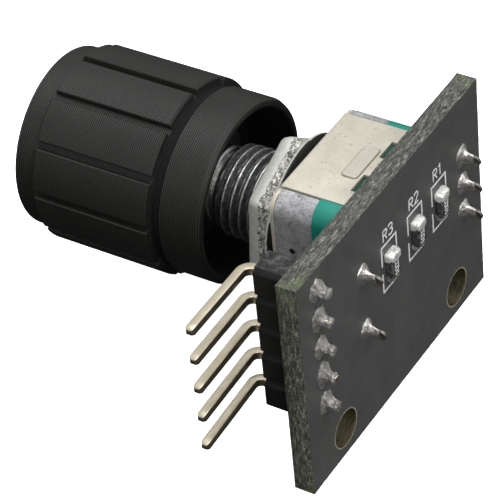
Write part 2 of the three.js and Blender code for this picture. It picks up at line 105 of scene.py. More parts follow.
def add_world():
    world = bpy.data.worlds.new("studio")
    bpy.context.scene.world = world
    world.use_nodes = True
    nt = world.node_tree
    nt.nodes.clear()
    geo = nt.nodes.new("ShaderNodeTexCoord")
    split = nt.nodes.new("ShaderNodeSeparateXYZ")
    ramp = nt.nodes.new("ShaderNodeValToRGB")
    back = nt.nodes.new("ShaderNodeBackground")
    out = nt.nodes.new("ShaderNodeOutputWorld")
    span = nt.nodes.new("ShaderNodeMapRange")
    span.inputs["From Min"].default_value = -1.0
    nt.links.new(geo.outputs["Generated"], split.inputs[0])
    nt.links.new(split.outputs["Z"], span.inputs["Value"])
    nt.links.new(span.outputs["Result"], ramp.inputs["Fac"])
    e = ramp.color_ramp.elements
    e[0].position, e[0].color = 0.42, (0.03, 0.03, 0.03, 1)
    e[1].position, e[1].color = 0.85, (0.95, 0.96, 0.98, 1)
    mid = ramp.color_ramp.elements.new(0.55)
    mid.color = (0.50, 0.50, 0.50, 1)
    nt.links.new(ramp.outputs["Color"], back.inputs["Color"])
    back.inputs["Strength"].default_value = 0.8
    nt.links.new(back.outputs["Background"], out.inputs["Surface"])


# ---- node helper ----


class Shader:
    """A material with a Principled shader, and short calls that add nodes to it."""

    def __init__(self, name, metallic=0.0, roughness=0.5):
        self.mat = bpy.data.materials.new(name)
        self.mat.use_nodes = True
        self.nt = self.mat.node_tree
        self.nodes, self.links = self.nt.nodes, self.nt.links
        self.bsdf = self.nodes["Principled BSDF"]
        self.bsdf.inputs["Metallic"].default_value = metallic
        self.bsdf.inputs["Roughness"].default_value = roughness
        self.place = self.nodes.new("ShaderNodeTexCoord").outputs["Object"]
        self.height = None

    def add(self, kind, **settings):
        node = self.nodes.new(kind)
        for key, value in settings.items():
            setattr(node, key, value)
        return node

    def scaled(self, scale, turn=(0, 0, 0)):
        m = self.add("ShaderNodeMapping")
        m.inputs["Scale"].default_value = scale
        m.inputs["Rotation"].default_value = turn
        self.links.new(self.place, m.inputs["Vector"])
        return m.outputs["Vector"]

    def noise(self, scale, detail=4.0, rough=0.6, distort=0.0, turn=(0, 0, 0)):
        """Noise whose features are about 1/scale metres, by axis if scale is a triple."""
        scale = scale if isinstance(scale, tuple) else (scale,) * 3
        n = self.add("ShaderNodeTexNoise")
        n.inputs["Scale"].default_value = 1.0
        n.inputs["Detail"].default_value = detail
        n.inputs["Roughness"].default_value = rough
        n.inputs["Distortion"].default_value = distort
        self.links.new(self.scaled(scale, turn), n.inputs["Vector"])
        return n.outputs["Fac"]

    def bands(self, axis, pitch, distort=0.0):
        """Parallel fine ridges across an axis, one every pitch metres."""
        n = self.add("ShaderNodeTexWave", wave_type="BANDS", bands_direction=axis)
        n.inputs["Scale"].default_value = 1.0
        n.inputs["Distortion"].default_value = distort
        n.inputs["Detail"].default_value = 2.0
        s = math.pi / (10 * pitch)
        self.links.new(self.scaled((s, s, s)), n.inputs["Vector"])
        return n.outputs["Fac"]

    def ramp(self, fac, *stops):
        r = self.add("ShaderNodeValToRGB")
        e = r.color_ramp.elements
        while len(e) < len(stops):
            e.new(0.5)
        for item, (pos, color) in zip(e, stops):
            item.position = pos
            value = color if isinstance(color, tuple) else (color,) * 3
            item.color = (*value, 1)
        self.links.new(fac, r.inputs["Fac"])
        return r.outputs["Color"]

    def mix(self, fac, a, b):
        m = self.add("ShaderNodeMix", data_type="RGBA")
        for socket, value in ((m.inputs[0], fac), (m.inputs[6], a), (m.inputs[7], b)):
            self._set(socket, value)
        return m.outputs[2]

    def math(self, operation, a, b=0.0):
        m = self.add("ShaderNodeMath", operation=operation)
        self._set(m.inputs[0], a)
        self._set(m.inputs[1], b)
        return m.outputs[0]

    def axis(self, name):
        s = self.add("ShaderNodeSeparateXYZ")
        self.links.new(self.place, s.inputs[0])
        return s.outputs[name]

    def step(self, value, low, high):
        """0 below low, 1 above high."""
        r = self.add("ShaderNodeMapRange", interpolation_type="SMOOTHSTEP")
        self._set(r.inputs["Value"], value)
        r.inputs["From Min"].default_value = low
        r.inputs["From Max"].default_value = high
        return r.outputs["Result"]

    def below(self, value, low, high):
        """1 below low, 0 above high."""
        return self.math("SUBTRACT", 1.0, self.step(value, low, high))

    def times(self, a, b):
        return self.math("MULTIPLY", a, b)

    def off(self, axis, centre):
        """Distance from the plane where the axis reads centre, in metres."""
        return self.math("ABSOLUTE", self.math("ADD", self.axis(axis), -centre))

    def tint(self, tone, mask, share, color):
        """tone, mixed with color by share of the mask."""
        return self.mix(self.times(mask, share), tone, color)

    def near(self, place, radius, soft):
        """1 within radius of a place, both in millimetres, and 0 beyond it."""
        v = self.add("ShaderNodeVectorMath", operation="DISTANCE")
        self.links.new(self.place, v.inputs[0])
        v.inputs[1].default_value = Vector(place) * MM
        return self.below(v.outputs["Value"], (radius - soft) * MM, radius * MM)

    def _set(self, socket, value):
        if isinstance(value, bpy.types.NodeSocket):
            self.links.new(value, socket)
        elif isinstance(value, tuple):
            socket.default_value = (*value, 1) if len(value) == 3 else value
        else:
            socket.default_value = value

    def color(self, socket):
        self.links.new(socket, self.bsdf.inputs["Base Color"])

    def rough(self, socket):
        self.links.new(socket, self.bsdf.inputs["Roughness"])

    def bump(self, height, depth, strength=1.0):
        """Adds a height in metres on top of those already there."""
        b = self.add("ShaderNodeBump")
        b.inputs["Strength"].default_value = strength
        b.inputs["Distance"].default_value = depth
        self.links.new(height, b.inputs["Height"])
        if self.height is not None:
            self.links.new(self.height, b.inputs["Normal"])
        self.height = b.outputs["Normal"]
        self.links.new(self.height, self.bsdf.inputs["Normal"])


# ---- materials ----


def solder_mask():
    s = Shader("solder_mask_black", roughness=0.45)
    cloud = s.noise(260, 5, 0.6)
    grain = s.noise(9000, 3, 0.6)
    tone = s.ramp(cloud, (0.3, (0.070, 0.070, 0.0675)), (0.7, (0.092, 0.092, 0.089)))
    tone = s.mix(0.16, tone, s.ramp(grain, (0.35, 0.035), (0.65, 0.10)))
    scratch = s.noise((900, 900, 14000), 2, 0.5, 0.3, (0, 0.75, 0))
    scratch = s.step(scratch, 0.70, 0.76)
    scratch = s.times(scratch, s.step(s.noise(150, 2), 0.55, 0.68))
    tone = s.tint(tone, scratch, 0.35, (0.20, 0.20, 0.19))
    # Brown flux and pale dust between the header's joints.
    near = s.off("X", -0.0130)
    near = s.below(near, 0.0005, 0.0014)
    dust = s.times(near, s.step(s.noise(5200, 4, 0.7), 0.54, 0.66))
    brown_to_pale = s.ramp(grain, (0.4, (0.10, 0.065, 0.035)), (0.6, (0.36, 0.33, 0.29)))
    tone = s.tint(tone, dust, 0.6, brown_to_pale)
    s.color(tone)
    s.rough(s.ramp(s.noise(700, 4), (0.3, 0.40), (0.75, 0.56)))
    s.bump(s.noise(1400, 4, 0.55), 0.00003, 0.5)
    s.bump(grain, 0.000006, 0.5)
    return s.mat


def broken_fibreglass():
    s = Shader("broken_fibreglass", roughness=0.8)
    long_grain = s.noise((1300, 7500, 3000), 5, 0.75, 0.5, (0.0, 0.0, 0.30))
    fine = s.noise((3600, 13000, 9000), 3, 0.7, 0.3)
    both = s.math("ADD", s.times(long_grain, 0.62), s.times(fine, 0.38))
    tone = s.ramp(
        both,
        (0.40, (0.012, 0.013, 0.010)),
        (0.47, (0.045, 0.046, 0.040)),
        (0.54, (0.105, 0.105, 0.092)),
        (0.64, (0.34, 0.34, 0.305)),
    )
    # The short edges are darker and more olive, with upright strands and pale specks.
    end = s.off("X", -0.0026)
    end = s.step(end, 0.01262, 0.01272)
    upright = s.noise((9000, 6500, 1500), 4, 0.72, 0.3)
    both_ends = s.math("ADD", s.times(upright, 0.6), s.times(fine, 0.4))
    olive = s.ramp(
        both_ends,
        (0.40, (0.018, 0.020, 0.014)),
        (0.50, (0.052, 0.056, 0.041)),
        (0.61, (0.26, 0.265, 0.215)),
    )
    tone = s.mix(end, tone, olive)
    # Bare resin shows yellow-green at the corners.
    far_x = s.step(s.off("X", -0.0026), 0.0104, 0.0128)
    far_z = s.step(s.off("Z", -0.00178), 0.0066, 0.0092)
    corner = s.times(s.times(far_x, far_z), s.step(s.noise(1100, 3), 0.42, 0.60))
    tone = s.tint(tone, corner, 0.55, (0.115, 0.150, 0.050))
    s.color(tone)
    s.rough(s.ramp(fine, (0.3, 0.65), (0.7, 0.88)))
    s.bump(both, 0.00012, 0.9)
    return s.mat


def cloudy(name, noise, stops, depth, strength, roughness, metallic=0.0, polish=None):
    """Material of one noise, which sets its colour, its bump and, where polish is given, its roughness."""
    s = Shader(name, metallic=metallic, roughness=roughness)
    n = s.noise(*noise)
    s.color(s.ramp(n, *stops))
    if polish:
        s.rough(s.ramp(n, *polish))
    s.bump(n, depth, strength)
    return s.mat


def solder(name="solder", dull=0.0):
    s = Shader(name, metallic=0.92 - 0.45 * dull, roughness=0.36)
    n = s.noise(2300, 5, 0.62, 0.4)
    fine = s.noise(11000, 3, 0.6)
    low, high = 0.30 - 0.15 * dull, 0.76 - 0.36 * dull
    tone = s.ramp(n, (0.30, (low, low * 0.96, low * 0.92)), (0.62, (high, high * 0.97, high * 0.93)))
    # Burnt flux in the pits.
    pits = s.step(s.noise(4200, 3, 0.6), 0.62 - 0.03 * dull, 0.70)
    tone = s.tint(tone, pits, 0.35 + 0.4 * dull, (0.055, 0.038, 0.026))
    s.color(tone)
    s.rough(s.ramp(n, (0.3, 0.55), (0.65, 0.30 + 0.18 * dull)))
    s.bump(n, 0.00012, 0.8)
    s.bump(fine, 0.00001, 0.5)
    return s.mat


def bright_solder():
    s = Shader("bright_solder", metallic=0.35, roughness=0.34)
    n = s.noise(2600, 4, 0.6, 0.3)
    tone = s.ramp(n, (0.32, (0.40, 0.39, 0.37)), (0.52, (0.80, 0.79, 0.76)))
    pits = s.step(s.noise(1500, 2, 0.5), 0.66, 0.70)
    s.color(s.tint(tone, pits, 0.8, (0.09, 0.08, 0.07)))
    s.rough(s.ramp(n, (0.3, 0.5), (0.65, 0.28)))
    s.bump(n, 0.00008, 0.7)
    return s.mat


def champagne_nickel():
    s = Shader("champagne_nickel", metallic=1.0, roughness=0.34)
    along = s.noise((900, 12000, 12000), 3, 0.6)
    cloud = s.noise(900, 4, 0.6)
    tone = s.ramp(cloud, (0.3, (0.56, 0.49, 0.355)), (0.7, (0.71, 0.635, 0.485)))
    tone = s.mix(0.25, tone, s.ramp(along, (0.35, (0.42, 0.35, 0.22)), (0.6, (0.92, 0.87, 0.73))))
    spots = s.step(s.noise(2600, 3, 0.6), 0.70, 0.76)
    tone = s.tint(tone, spots, 0.5, (0.25, 0.19, 0.10))
    s.color(tone)
    s.rough(s.ramp(along, (0.3, 0.44), (0.7, 0.26)))
    s.bump(along, 0.00001, 0.6)
    s.bump(cloud, 0.00004, 0.5)
    return s.mat


def moulded_black():
    s = Shader("moulded_black", roughness=0.55)
    s.bsdf.inputs["Specular IOR Level"].default_value = 0.25
    n = s.noise(3800, 4, 0.65)
    coarse = s.noise(1500, 4, 0.7, 0.5)
    # The cut end of the block, its upward face, is paler and rough: partly its rough cut surface, partly
    # painted light from above.
    geo = s.add("ShaderNodeNewGeometry")
    split = s.add("ShaderNodeSeparateXYZ")
    s.links.new(geo.outputs["Normal"], split.inputs[0])
    cut = s.step(split.outputs["Z"], 0.80, 0.97)
    torn = s.ramp(coarse, (0.36, 0.008), (0.50, 0.028), (0.64, 0.085))
    s.color(s.mix(cut, s.ramp(n, (0.3, 0.004), (0.7, 0.011)), torn))
    s.rough(s.ramp(n, (0.3, 0.48), (0.7, 0.68)))
    s.bump(s.times(coarse, cut), 0.00020, 0.9)
    s.bump(n, 0.00002, 0.6)
    return s.mat


def green_plastic():
    s = Shader("green_plastic", roughness=0.42)
    cloud = s.noise(500, 3, 0.5)
    fine = s.noise(6000, 3, 0.6)
    tone = s.ramp(cloud, (0.3, (0.003, 0.200, 0.148)), (0.7, (0.008, 0.255, 0.192)))
    # Deep green where the bracket shades it.
    under = s.below(s.math("ABSOLUTE", s.axis("X")), 0.0044, 0.0045)
    under = s.times(under, s.step(s.axis("Z"), 0.00545, 0.00560))
    s.color(s.tint(tone, under, 0.85, (0.002, 0.040, 0.028)))
    s.rough(s.ramp(fine, (0.3, 0.40), (0.7, 0.56)))
    s.bump(fine, 0.00001, 0.6)
    s.bump(cloud, 0.00004, 0.3)
    return s.mat


def cast_zinc():
    s = Shader("cast_zinc", metallic=0.3, roughness=0.5)
    blotch = s.noise(1100, 6, 0.70, 0.8)
    fine = s.noise(5600, 4, 0.65)
    tone = s.ramp(
        blotch,
        (0.30, (0.11, 0.11, 0.114)),
        (0.44, (0.26, 0.26, 0.268)),
        (0.56, (0.37, 0.37, 0.38)),
        (0.72, (0.54, 0.53, 0.52)),
    )
    tone = s.mix(0.35, tone, s.ramp(fine, (0.36, (0.20, 0.20, 0.215)), (0.64, (0.66, 0.66, 0.66))))
    pits = s.step(s.noise(2600, 3, 0.55), 0.66, 0.72)
    tone = s.tint(tone, pits, 0.7, (0.045, 0.045, 0.05))
    # Painted shade: the seat under the bracket plate is painted near black.
    seat = s.below(s.math("ABSOLUTE", s.axis("X")), 0.00468, 0.00472)
    seat = s.times(seat, s.step(s.math("ABSOLUTE", s.axis("Z")), 0.0055, 0.0056))
    tone = s.mix(seat, tone, (0.010, 0.009, 0.007))
    # A small moulding pit on the left side.
    tone = s.mix(s.near((-6.15, 6.16, 1.75), 0.30, 0.12), tone, (0.012, 0.010, 0.012))
    s.color(tone)
    s.rough(s.ramp(blotch, (0.3, 0.62), (0.7, 0.42)))
    s.bump(blotch, 0.00008, 0.8)
    s.bump(fine, 0.00002, 0.7)
    return s.mat


# Thread metal in two copies: a lighter one for the crests as a painted highlight, a darker one for the flanks
# as painted shade.
def thread_metal(name, painted_shade):
    s = Shader(name, metallic=0.9, roughness=0.36)
    n = s.noise((2200, 5200, 2200), 5, 0.65, 0.3)
    low, high = (0.05, 0.20) if painted_shade else (0.16, 0.62)
    s.color(s.ramp(n, (0.34, (low * 0.96, low, low * 0.97)), (0.66, (high * 0.97, high, high * 0.97))))
    s.rough(s.ramp(n, (0.3, 0.5), (0.7, 0.32)))
    s.bump(n, 0.00005, 0.7)
    return s.mat


def tin_plate():
    s = Shader("tin_plate", metallic=0.25, roughness=0.55)
    cloud = s.noise(420, 5, 0.6, 0.5)
    lines_a = s.noise((700, 9000, 700), 3, 0.6, 0.2, (0, 0, 0.5))
    lines_b = s.noise((9000, 800, 800), 3, 0.6, 0.2, (0, 0, 0.9))
    tone = s.ramp(cloud, (0.3, (0.465, 0.435, 0.360)), (0.7, (0.565, 0.535, 0.450)))
    tone = s.tint(tone, s.step(lines_a, 0.58, 0.72), 0.5, (0.41, 0.385, 0.32))
    tone = s.tint(tone, s.step(lines_b, 0.60, 0.74), 0.35, (0.66, 0.635, 0.57))
    specks = s.step(s.noise(3600, 3, 0.6), 0.61, 0.68)
    tone = s.tint(tone, specks, 0.55, (0.24, 0.21, 0.16))
    # The embossed pad is greyer, with a painted shadow line round its rounded outline.
    pad_x = s.math("MAXIMUM", s.math("SUBTRACT", s.math("ABSOLUTE", s.axis("X")), 0.00148), 0.0)
    pad_y = s.math("ABSOLUTE", s.math("SUBTRACT", s.axis("Y"), 0.00385))
    pad_y = s.math("MAXIMUM", s.math("SUBTRACT", pad_y, 0.00031), 0.0)
    away = s.math("ADD", s.math("POWER", pad_x, 2.0), s.math("POWER", pad_y, 2.0))
    away = s.math("SUBTRACT", s.math("POWER", away, 0.5), 0.00034)
    top = s.step(s.axis("Z"), 0.00585, 0.00590)
    pad = s.times(top, s.below(away, -0.00004, 0.0))
    tone = s.tint(tone, pad, 0.45, (0.42, 0.40, 0.345))
    # Painted shadow: a dark line along the pad's rounded outline.
    outline_shadow = s.below(s.math("ABSOLUTE", away), 0.00002, 0.00007)
    tone = s.tint(tone, s.times(outline_shadow, top), 0.6, (0.16, 0.13, 0.08))
    s.color(tone)
    s.rough(s.ramp(lines_a, (0.3, 0.56), (0.7, 0.44)))
    s.bump(lines_a, 0.00001, 0.6)
    s.bump(cloud, 0.00005, 0.4)
    return s.mat


def plated_zinc(name, torn):
    s = Shader(name, metallic=0.2, roughness=0.6)
    n = s.noise(3300 if torn else 1300, 5, 0.7, 1.2 if torn else 0.5)
    fine = s.noise(9000, 3, 0.6)
    if torn:
        tone = s.ramp(
            n,
            (0.36, (0.055, 0.055, 0.042)),
            (0.46, (0.20, 0.20, 0.17)),
            (0.53, (0.36, 0.355, 0.315)),
            (0.60, (0.78, 0.77, 0.72)),
        )
    else:
        tone = s.ramp(n, (0.3, (0.40, 0.405, 0.37)), (0.7, (0.50, 0.505, 0.465)))
    s.color(tone)
    s.rough(s.ramp(n, (0.3, 0.72), (0.7, 0.56)))
    s.bump(n, 0.00014 if torn else 0.00003, 0.9 if torn else 0.5)
    s.bump(fine, 0.00001, 0.5)
    return s.mat


def turned_steel():
    s = Shader("turned_steel", metallic=1.0, roughness=0.3)
    lines = s.bands("Y", 0.00012, 1.5)
    n = s.noise(1500, 4, 0.6)
    s.color(s.ramp(n, (0.3, (0.40, 0.40, 0.39)), (0.7, (0.60, 0.60, 0.585))))
    s.rough(s.ramp(n, (0.3, 0.4), (0.7, 0.24)))
    s.bump(lines, 0.000006, 0.7)
    return s.mat


def black_anodised():
    s = Shader("black_anodised", roughness=0.42)
    s.bsdf.inputs["Specular IOR Level"].default_value = 0.28
    lines = s.bands("Y", 0.00017, 0.6)
    cloud = s.noise(330, 4, 0.6)
    fine = s.noise((2400, 16000, 2400), 3, 0.6)
    tone = s.ramp(cloud, (0.3, (0.0045, 0.0045, 0.0042)), (0.7, (0.009, 0.009, 0.008)))
    tone = s.tint(tone, lines, 0.7, (0.034, 0.034, 0.030))
    scuff = s.step(s.noise((2600, 5200, 2600), 4, 0.65), 0.68, 0.78)
    tone = s.tint(tone, scuff, 0.30, (0.09, 0.09, 0.083))
    # The inside is unlit black.
    squares = s.math("ADD", s.math("POWER", s.axis("X"), 2.0), s.math("POWER", s.axis("Z"), 2.0))
    radius = s.math("POWER", squares, 0.5)
    inside = s.below(radius, 0.00645, 0.00652)
    inside = s.times(inside, s.below(s.axis("Y"), 0.0283, 0.0285))
    # So is the narrow neck behind the panels.
    neck = s.step(s.axis("Y"), 0.01684, 0.01688)
    neck = s.times(neck, s.below(s.axis("Y"), 0.01764, 0.01768))
    neck = s.times(neck, s.below(radius, 0.00688, 0.00700))
    inside = s.math("MAXIMUM", inside, neck)
    tone = s.mix(inside, tone, (0.0022, 0.0022, 0.0022))
    # The front face is turned in rings.
    rings = s.step(s.math("SINE", s.times(radius, 2 * math.pi / 0.00034)), -0.3, 0.9)
    rings = s.times(rings, s.step(s.axis("Y"), 0.02925, 0.02935))
    tone = s.tint(tone, rings, 0.7, (0.040, 0.040, 0.036))
    s.color(tone)
    s.rough(s.mix(inside, s.ramp(fine, (0.3, 0.50), (0.7, 0.36)), (0.8, 0.8, 0.8)))
    s.bump(lines, 0.000030, 0.9)
    s.bump(rings, 0.000020, 0.8)
    s.bump(fine, 0.000004, 0.5)
    return s.mat


def studio_floor():
    s = Shader("studio_floor", roughness=0.9)
    n = s.noise(30, 3)
    s.color(s.ramp(n, (0.3, 0.93), (0.7, 0.95)))
    s.bsdf.inputs["Emission Color"].default_value = (1, 1, 1, 1)
    s.bsdf.inputs["Emission Strength"].default_value = 1.0
    return s.mat


M = {
    "mask": solder_mask(),
    "edge": broken_fibreglass(),
    "drill": cloudy(
        "drilled_fibreglass", ((1500, 6000, 1500), 4, 0.65),
        ((0.35, (0.014, 0.011, 0.004)), (0.65, (0.072, 0.060, 0.024))), 0.00004, 0.6, 0.6),
    "ring": cloudy(
        "bare_ring", (4000, 3), ((0.3, (0.16, 0.15, 0.10)), (0.7, (0.42, 0.40, 0.30))), 0.00002, 0.5, 0.5),
    "ink": cloudy("silk_ink", (5200, 4, 0.7), ((0.30, 0.52), (0.52, 0.86)), 0.00002, 0.6, 0.6),
    "solder": solder(),
    "solder_dull": solder("solder_dull", 1.0),
    "blob": bright_solder(),
    "lead": cloudy(
        "tinned_lead", ((2500, 1200, 2500), 4, 0.6), ((0.32, (0.20, 0.19, 0.17)), (0.66, (0.42, 0.40, 0.37))),
        0.00004, 0.6, 0.3, 1.0, ((0.3, 0.42), (0.7, 0.26))),
    "pin": champagne_nickel(),
    "moulded": moulded_black(),
    "matt": cloudy("matt_black", (3000, 4, 0.6), ((0.3, 0.010), (0.7, 0.020)), 0.00002, 0.5, 0.55),
    "green": green_plastic(),
    "zinc": cast_zinc(),
    "crest": thread_metal("thread_crest_painted_highlight", False),
    "flank": thread_metal("thread_flank_painted_shade", True),
    "tin": tin_plate(),
    "nut": plated_zinc("plated_zinc", False),
    "torn": plated_zinc("torn_zinc", True),
    "steel": turned_steel(),
    "spring": cloudy(
        "spring_sheet", (2500, 4, 0.6), ((0.3, (0.42, 0.42, 0.41)), (0.7, (0.62, 0.62, 0.60))),
        0.00002, 0.5, 0.3, 1.0, ((0.3, 0.42), (0.7, 0.25))),
    "knob": black_anodised(),
    "nylon": cloudy(
        "nylon", (1800, 4, 0.6), ((0.3, (0.58, 0.54, 0.44)), (0.7, (0.68, 0.64, 0.54))), 0.00002, 0.5, 0.45),
    "brass": cloudy(
        "brass_strip", (2200, 4, 0.6), ((0.3, (0.60, 0.44, 0.18)), (0.7, (0.80, 0.62, 0.30))),
        0.00002, 0.5, 0.3, 1.0, ((0.3, 0.4), (0.7, 0.25))),
    "chip": cloudy(
        "resistor_glaze", (4500, 4, 0.6),
        ((0.36, (0.022, 0.022, 0.022)), (0.52, (0.055, 0.054, 0.050)), (0.64, (0.15, 0.15, 0.14))),
        0.00003, 0.6, 0.35, 0.0, ((0.3, 0.28), (0.7, 0.45))),
}


# ---- mesh helpers ----


def piece(name, verts, faces, mats, body, replaces=(), face_mats=None, sharp=35.0):
    """Makes one visible piece from millimetre vertices."""
    mesh = bpy.data.meshes.new(name)
    mesh.from_pydata([Vector(v) * MM for v in verts], [], faces)
    for m in mats:
        mesh.materials.append(M[m])
    if face_mats is not None:
        mesh.polygons.foreach_set("material_index", face_mats)
    bm = bmesh.new()
    bm.from_mesh(mesh)
    bmesh.ops.remove_doubles(bm, verts=bm.verts, dist=1e-8)
    bmesh.ops.recalc_face_normals(bm, faces=bm.faces)
    bm.to_mesh(mesh)
    bm.free()
    mesh.shade_smooth()
    mesh.set_sharp_from_angle(angle=math.radians(sharp))
    obj = bpy.data.objects.new(name, mesh)
    bpy.context.scene.collection.objects.link(obj)
    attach(obj, body)
    if replaces:
        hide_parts(*replaces)
    return obj


def band_faces(count, start, other):
    """Quads between two rings of count vertices that begin at start and other."""
    return [(start + i, start + (i + 1) % count, other + (i + 1) % count, other + i) for i in range(count)]


def loft(rings, close=True, caps=(False, False)):
    """Vertices and faces through rings of equal size. close joins the last ring to the first."""
    count = len(rings[0])
    verts = [v for ring in rings for v in ring]
    faces = []
    for k in range(len(rings) - 1):
        faces += band_faces(count, k * count, (k + 1) * count)
    if close:
        faces += band_faces(count, (len(rings) - 1) * count, 0)
    for at_end, cap in zip((0, len(rings) - 1), caps):
        if cap:
            middle = sum((Vector(v) for v in rings[at_end]), Vector()) / count
            verts.append(tuple(middle))
            m = len(verts) - 1
            faces += [(at_end * count + i, at_end * count + (i + 1) % count, m) for i in range(count)]
    return verts, faces


def solid(rings):
    """Vertices and faces through rings, closed by a cap at each end."""
    return loft(rings, close=False, caps=(True, True))


def contents(bm, unit=1.0):
    """Vertices and faces of a bmesh, which is freed. unit is the length of its unit in millimetres."""
    bm.verts.index_update()
    verts = [tuple(v.co / unit) for v in bm.verts]
    faces = [tuple(v.index for v in f.verts) for f in bm.faces]
    bm.free()
    return verts, faces


def rounded(half_x, half_z, radius, steps):
    """Rectangle with round corners, as points of its first and second axis, corner by corner."""
    corners = []
    for sx, sz, start in ((1, 1, 0), (-1, 1, 90), (-1, -1, 180), (1, -1, 270)):
        turns = [math.radians(start + 90 * i / steps) for i in range(steps + 1)]
        corners.append([
            (sx * (half_x - radius) + radius * math.cos(a), sz * (half_z - radius) + radius * math.sin(a))
            for a in turns
        ])
    return corners


def polar(r, y, a):
    return (r * math.cos(a), y, r * math.sin(a))


def circle(r, y, angles):
    return [polar(r, y, a) for a in angles]


def even(count):
    return [2 * math.pi * i / count for i in range(count)]


def wobble(place, scale, seed=0.0):
    """Smooth noise between about -1 and 1 at a place in millimetres."""
    return noise.noise(Vector(place) * scale + Vector((seed, seed * 0.37, -seed)))


def node_box(name):
    lo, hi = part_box(name)
    return Vector(lo) / MM, Vector(hi) / MM


# ---- board ----

board_lo, board_hi = node_box("pcb")
EDGE_BULGE = 0.25
THICK = board_hi.y
HOLES = [(-10.7, -8.8), (5.95, -8.8)]
HOLE_RADIUS = 1.47
RING_RADIUS = 1.58
HOLE_SIDES = 64
EDGE_STEP, EDGE_ROWS = 0.12, 15
MASK_MAT, EDGE_MAT, DRILL_MAT, RING_MAT = range(4)


def board():
    x0, x1 = board_lo.x + EDGE_BULGE, board_hi.x - EDGE_BULGE
    z0, z1 = board_lo.z + EDGE_BULGE, board_hi.z - EDGE_BULGE
    corners = [(x0, z0), (x1, z0), (x1, z1), (x0, z1)]
    outline = []
    for k, (ax, az) in enumerate(corners):
        bx, bz = corners[(k + 1) % 4]
        length = math.hypot(bx - ax, bz - az)
        n = round(length / EDGE_STEP)
        nx, nz = (bz - az) / length, -(bx - ax) / length
        for i in range(n):
            t = i / n
            fade = min(1.0, t * length, (1 - t) * length)
            outline.append((ax + (bx - ax) * t, az + (bz - az) * t, nx * fade, nz * fade))
    rings = []
    for j in range(EDGE_ROWS):
        t = j / (EDGE_ROWS - 1)
        y = THICK * t
        bulge = EDGE_BULGE * min(1.0, min(t, 1 - t) / 0.28)
        ring = []
        for i, (x, z, nx, nz) in enumerate(outline):
            if 0 < j < EDGE_ROWS - 1:
                layer = wobble((x * 0.9, y * 4.5, z * 0.9), 1.0, 3.1)
                chip = wobble((x, y * 2.2, z), 4.2, 11.0)
                rough = -0.05 - 0.07 * layer - 0.05 * chip
            else:
                rough = -0.03 + 0.03 * wobble((x, y, z), 2.6, 5.0)
            push = min(EDGE_BULGE, bulge + rough)
            ring.append((x + nx * push, y, z + nz * push))
        rings.append(ring)
    verts, faces = loft(rings, close=False)
    count = len(outline)
    around = even(HOLE_SIDES)
    hole_rims = {hole: [] for hole in HOLES}
    bm = bmesh.new()
    made = [bm.verts.new(v) for v in verts]
    for f in faces:
        bm.faces.new([made[i] for i in f]).material_index = EDGE_MAT
    for y, first in ((0.0, 0), (THICK, (EDGE_ROWS - 1) * count)):
        loop = made[first:first + count]
        edges = [bm.edges.get((loop[i], loop[(i + 1) % count])) for i in range(count)]
        for hx, hz in HOLES:
            outer, inner = (
                [bm.verts.new((hx + r * math.cos(a), y, hz + r * math.sin(a))) for a in around]
                for r in (RING_RADIUS, HOLE_RADIUS)
            )
            for i in range(HOLE_SIDES):
                j = (i + 1) % HOLE_SIDES
                edges.append(bm.edges.new((outer[i], outer[j])))
                bm.faces.new((outer[i], outer[j], inner[j], inner[i])).material_index = RING_MAT
            hole_rims[hx, hz].append(inner)
        fill = bmesh.ops.triangle_fill(bm, use_beauty=True, edges=edges, normal=(0, 1, 0))
        for f in fill["geom"]:
            if isinstance(f, bmesh.types.BMFace):
                f.material_index = MASK_MAT
    for near, far in hole_rims.values():
        for i in range(HOLE_SIDES):
            j = (i + 1) % HOLE_SIDES
            bm.faces.new((near[i], near[j], far[j], far[i])).material_index = DRILL_MAT
    mats = [f.material_index for f in bm.faces]
    verts, faces = contents(bm)
    names = ["mask", "edge", "drill", "ring"]
    piece("circuit_board", verts, faces, names, "base", ["pcb"], mats, 28)


board()


# ---- silk print ----

INK_OUT = -0.016
INK_IN = -0.001


def ribbon(points, width):
    """Closed thin strip of ink along [x, z] points on the board's back."""
    pts = [Vector((p[0], 0, p[1])) for p in points]
    n = len(pts)
    left, right = [], []
    for i, p in enumerate(pts):
        before = pts[i - 1] if i > 0 else p - (pts[1] - p)
        after = pts[i + 1] if i < n - 1 else p + (p - pts[i - 1])
        d0, d1 = (p - before).normalized(), (after - p).normalized()
        n0, n1 = Vector((-d0.z, 0, d0.x)), Vector((-d1.z, 0, d1.x))
        side = (n0 + n1).normalized()
        reach = width / 2 / max(0.5, side.dot(n0)) * (1 + 0.16 * wobble(p, 3.1, 2.0))
        left.append(p + side * reach)
        right.append(p - side * reach)
    rings = [
        [(a.x, y, a.z) for a, y in ((q, INK_OUT), (q, INK_IN), (w, INK_IN), (w, INK_OUT))]
        for q, w in zip(left, right)
    ]
    verts, faces = loft(rings, close=False)
    last = (n - 1) * 4
    faces += [(0, 1, 2, 3), (last, last + 1, last + 2, last + 3)]
    return verts, faces


def merged(parts):
    verts, faces = [], []
    for v, f in parts:
        base = len(verts)
        verts += v
        faces += [tuple(base + i for i in face) for face in f]
    return verts, faces


GLYPHS = {
    "R": [[(0, 0), (0, 1)], [(0.06, 1), (0.45, 1), (0.6, 0.86), (0.6, 0.66), (0.45, 0.52), (0.06, 0.52)],
          [(0.3, 0.46), (0.6, 0)]],
    "1": [[(0.05, 0.8), (0.28, 1), (0.28, 0)]],
    "2": [[(0, 0.84), (0.15, 1), (0.45, 1), (0.6, 0.84), (0.58, 0.62), (0, 0.0), (0.6, 0)]],
    "3": [[(0, 0.88), (0.15, 1), (0.45, 1), (0.6, 0.86), (0.6, 0.66), (0.45, 0.53), (0.22, 0.53)],
          [(0.45, 0.48), (0.6, 0.36), (0.6, 0.14), (0.45, 0), (0.15, 0), (0, 0.12)]],
    "0": [[(0.15, 0), (0, 0.2), (0, 0.8), (0.15, 1), (0.45, 1), (0.6, 0.8), (0.6, 0.2), (0.45, 0.0),
           (0.2, 0.0)]],
}


